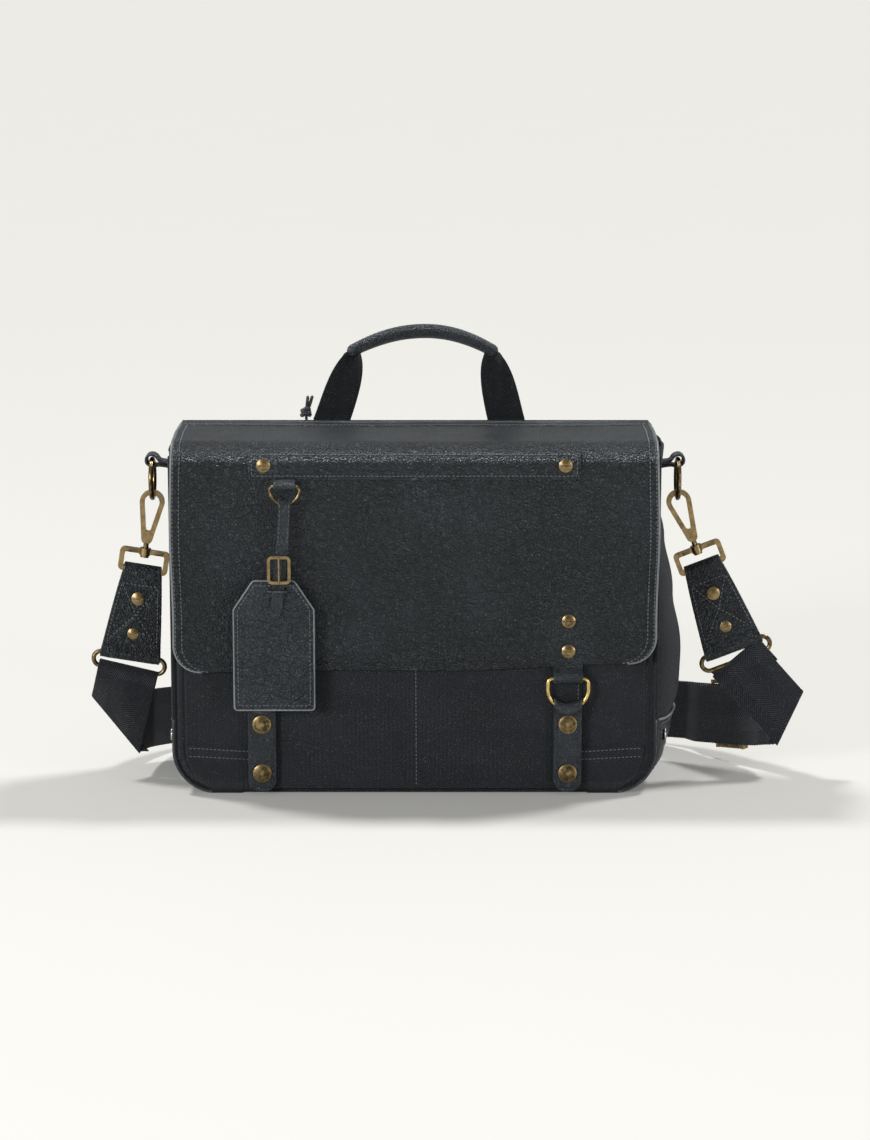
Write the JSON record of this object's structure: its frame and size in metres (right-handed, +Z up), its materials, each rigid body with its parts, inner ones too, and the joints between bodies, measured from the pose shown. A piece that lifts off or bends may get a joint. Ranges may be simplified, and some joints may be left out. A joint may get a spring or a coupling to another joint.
{
  "type": "messenger bag",
  "caption": "Canvas messenger bag with a leather flap, ring and snap closures, luggage tag, carrying handle, back zip and a hooked shoulder strap.",
  "frame": {"origin": "middle of the base, on the surface that the bag stands on", "axes": "+X towards the bag's right side seen from the front, -Y out of the front, +Z up"},
  "size_m": [0.5921, 0.243, 0.3708],
  "materials": {
    "body_canvas": "dyed twill",
    "lining_cloth": "plain weave",
    "board": "matt",
    "padding": "padded cloth",
    "flap_leather": "pebble grain",
    "trim_leather": "smooth grain",
    "webbing": "herringbone",
    "brass": "antique",
    "nickel": "worn"
  },
  "bodies": {
    "root": {"front_panel": "body_canvas", "back_panel": "body_canvas", "gusset_left": "body_canvas", "gusset_right": "body_canvas", "bottom_panel": "body_canvas", "base_board": "board", "lining": "lining_cloth", "laptop_divider": "padding", "front_pocket": "body_canvas", "corner_guard_left": "trim_leather", "corner_guard_right": "trim_leather", "guard_rivets": "nickel", "snap_base_left": "trim_leather", "snap_base_right": "trim_leather", "snap_studs": "brass", "ring_tabs": "trim_leather", "zip_tape": "webbing", "zip_teeth": "brass", "handle_anchors": "webbing"},
    "flap_top": {"flap_top": "flap_leather"},
    "flap_front": {"flap_front": "flap_leather", "flap_strip": "flap_leather", "strip_rivets": "brass", "closure_rivets": "brass", "closure_loop_left": "trim_leather", "closure_loop_right": "trim_leather", "tag_loop": "trim_leather"},
    "closure_ring_left": {"closure_ring_left": "brass"},
    "closure_ring_right": {"closure_ring_right": "brass"},
    "closure_tab_left": {"closure_tab_left": "trim_leather", "snaps_left": "brass"},
    "closure_tab_right": {"closure_tab_right": "trim_leather", "snaps_right": "brass"},
    "tag_ring": {"tag_ring": "brass"},
    "tag": {"tag_strap": "trim_leather", "tag_buckle": "brass", "buckle_prong": "brass", "tag_plate": "trim_leather"},
    "handle": {"handle_webbing_left": "webbing", "handle_webbing_right": "webbing", "handle_grip": "trim_leather", "handle_core": "webbing"},
    "zip_slider": {"zip_slider": "brass"},
    "zip_pull": {"zip_lace": "trim_leather", "lace_knot": "trim_leather"},
    "side_ring_left": {"side_ring_left": "brass"},
    "side_ring_right": {"side_ring_right": "brass"},
    "strap": {"swivel_loop_left": "brass", "swivel_loop_right": "brass", "strap_end_left": "trim_leather", "strap_end_right": "trim_leather", "strap_end_rivets": "brass", "strap_ring_left": "brass", "strap_ring_right": "brass", "strap_webbing": "webbing"},
    "hook_left": {"hook_left": "brass"},
    "hook_right": {"hook_right": "brass"},
    "gate_left": {"hook_gate_left": "brass"},
    "gate_right": {"hook_gate_right": "brass"},
    "adjuster": {"strap_adjuster": "brass"}
  },
  "joints": [
    {"name": "flap_lift", "type": "hinge", "parent": "root", "child": "flap_top", "pos_m": [0, 0.056, 0.2903], "axis": [-1, 0, 0], "range_deg": [0, 88]},
    {"name": "flap_fold", "type": "hinge", "parent": "flap_top", "child": "flap_front", "pos_m": [0, -0.0624, 0.288], "axis": [-1, 0, 0], "range_deg": [0, 80]},
    {"name": "closure_ring_left_swing", "type": "hinge", "parent": "flap_front", "child": "closure_ring_left", "pos_m": [-0.1245, -0.06518, 0.098], "axis": [-1, 0, 0], "range_deg": [0, 5]},
    {"name": "closure_ring_right_swing", "type": "hinge", "parent": "flap_front", "child": "closure_ring_right", "pos_m": [0.1245, -0.06518, 0.098], "axis": [-1, 0, 0], "range_deg": [0, 80]},
    {"name": "closure_tab_left_swing", "type": "hinge", "parent": "closure_ring_left", "child": "closure_tab_left", "pos_m": [-0.1245, -0.06518, 0.073], "axis": [-1, 0, 0], "range_deg": [0, 80]},
    {"name": "closure_tab_right_swing", "type": "hinge", "parent": "closure_ring_right", "child": "closure_tab_right", "pos_m": [0.1245, -0.06518, 0.073], "axis": [-1, 0, 0], "range_deg": [0, 80]},
    {"name": "tag_ring_swing", "type": "hinge", "parent": "flap_front", "child": "tag_ring", "pos_m": [-0.104, -0.07545, 0.258], "axis": [-1, 0, 0], "range_deg": [0, 80]},
    {"name": "tag_swing", "type": "hinge", "parent": "tag_ring", "child": "tag", "pos_m": [-0.104, -0.07545, 0.2435], "axis": [-1, 0, 0], "range_deg": [0, 80]},
    {"name": "handle_fold", "type": "hinge", "parent": "root", "child": "handle", "pos_m": [0.003, 0.062, 0.294], "axis": [-1, 0, 0], "range_deg": [-70, 100]},
    {"name": "zip_slide", "type": "slide", "parent": "root", "child": "zip_slider", "axis": [1, 0, 0], "range_m": [0, 0.16]},
    {"name": "zip_pull_tilt", "type": "hinge", "parent": "zip_slider", "child": "zip_pull", "pos_m": [-0.092, 0.0652, 0.258], "axis": [-1, 0, 0], "range_deg": [0, 100]},
    {"name": "side_ring_left_sway", "type": "hinge", "parent": "root", "child": "side_ring_left", "pos_m": [-0.216, 0, 0.268], "axis": [0, 1, 0], "range_deg": [-1, 3]},
    {"name": "side_ring_right_sway", "type": "hinge", "parent": "root", "child": "side_ring_right", "pos_m": [0.216, 0, 0.268], "axis": [0, 1, 0], "range_deg": [-3, 1]},
    {"name": "strap_swing", "type": "hinge", "parent": "root", "child": "strap", "pos_m": [0, 0, 0.252], "axis": [1, 0, 0], "range_deg": [0, 120]},
    {"name": "hook_left_swivel", "type": "hinge", "parent": "strap", "child": "hook_left", "pos_m": [-0.21656, 0, 0.23244], "axis": [0.1564, 0, 0.9877], "range_deg": [-15, 15]},
    {"name": "hook_right_swivel", "type": "hinge", "parent": "strap", "child": "hook_right", "pos_m": [0.21729, 0, 0.23264], "axis": [-0.3584, 0, 0.9336], "range_deg": [-15, 15]},
    {"name": "gate_left_open", "type": "hinge", "parent": "hook_left", "child": "gate_left", "pos_m": [-0.22415, 0, 0.21289], "axis": [0, 1, 0], "range_deg": [0, 20], "stiffness_Nm_per_rad": 0.02, "springref_deg": -11.46},
    {"name": "gate_right_open", "type": "hinge", "parent": "hook_right", "child": "gate_right", "pos_m": [0.22878, 0, 0.21509], "axis": [0, -1, 0], "range_deg": [0, 20], "stiffness_Nm_per_rad": 0.02, "springref_deg": -11.46},
    {"name": "adjuster_slide", "type": "slide", "parent": "strap", "child": "adjuster", "axis": [-0.632, 0.7637, -0.1317], "range_m": [-0.012, 0.018]}
  ],
  "couplings": [
    {"joint": "flap_fold", "follows": "flap_lift", "ratio": 0.9}
  ]
}
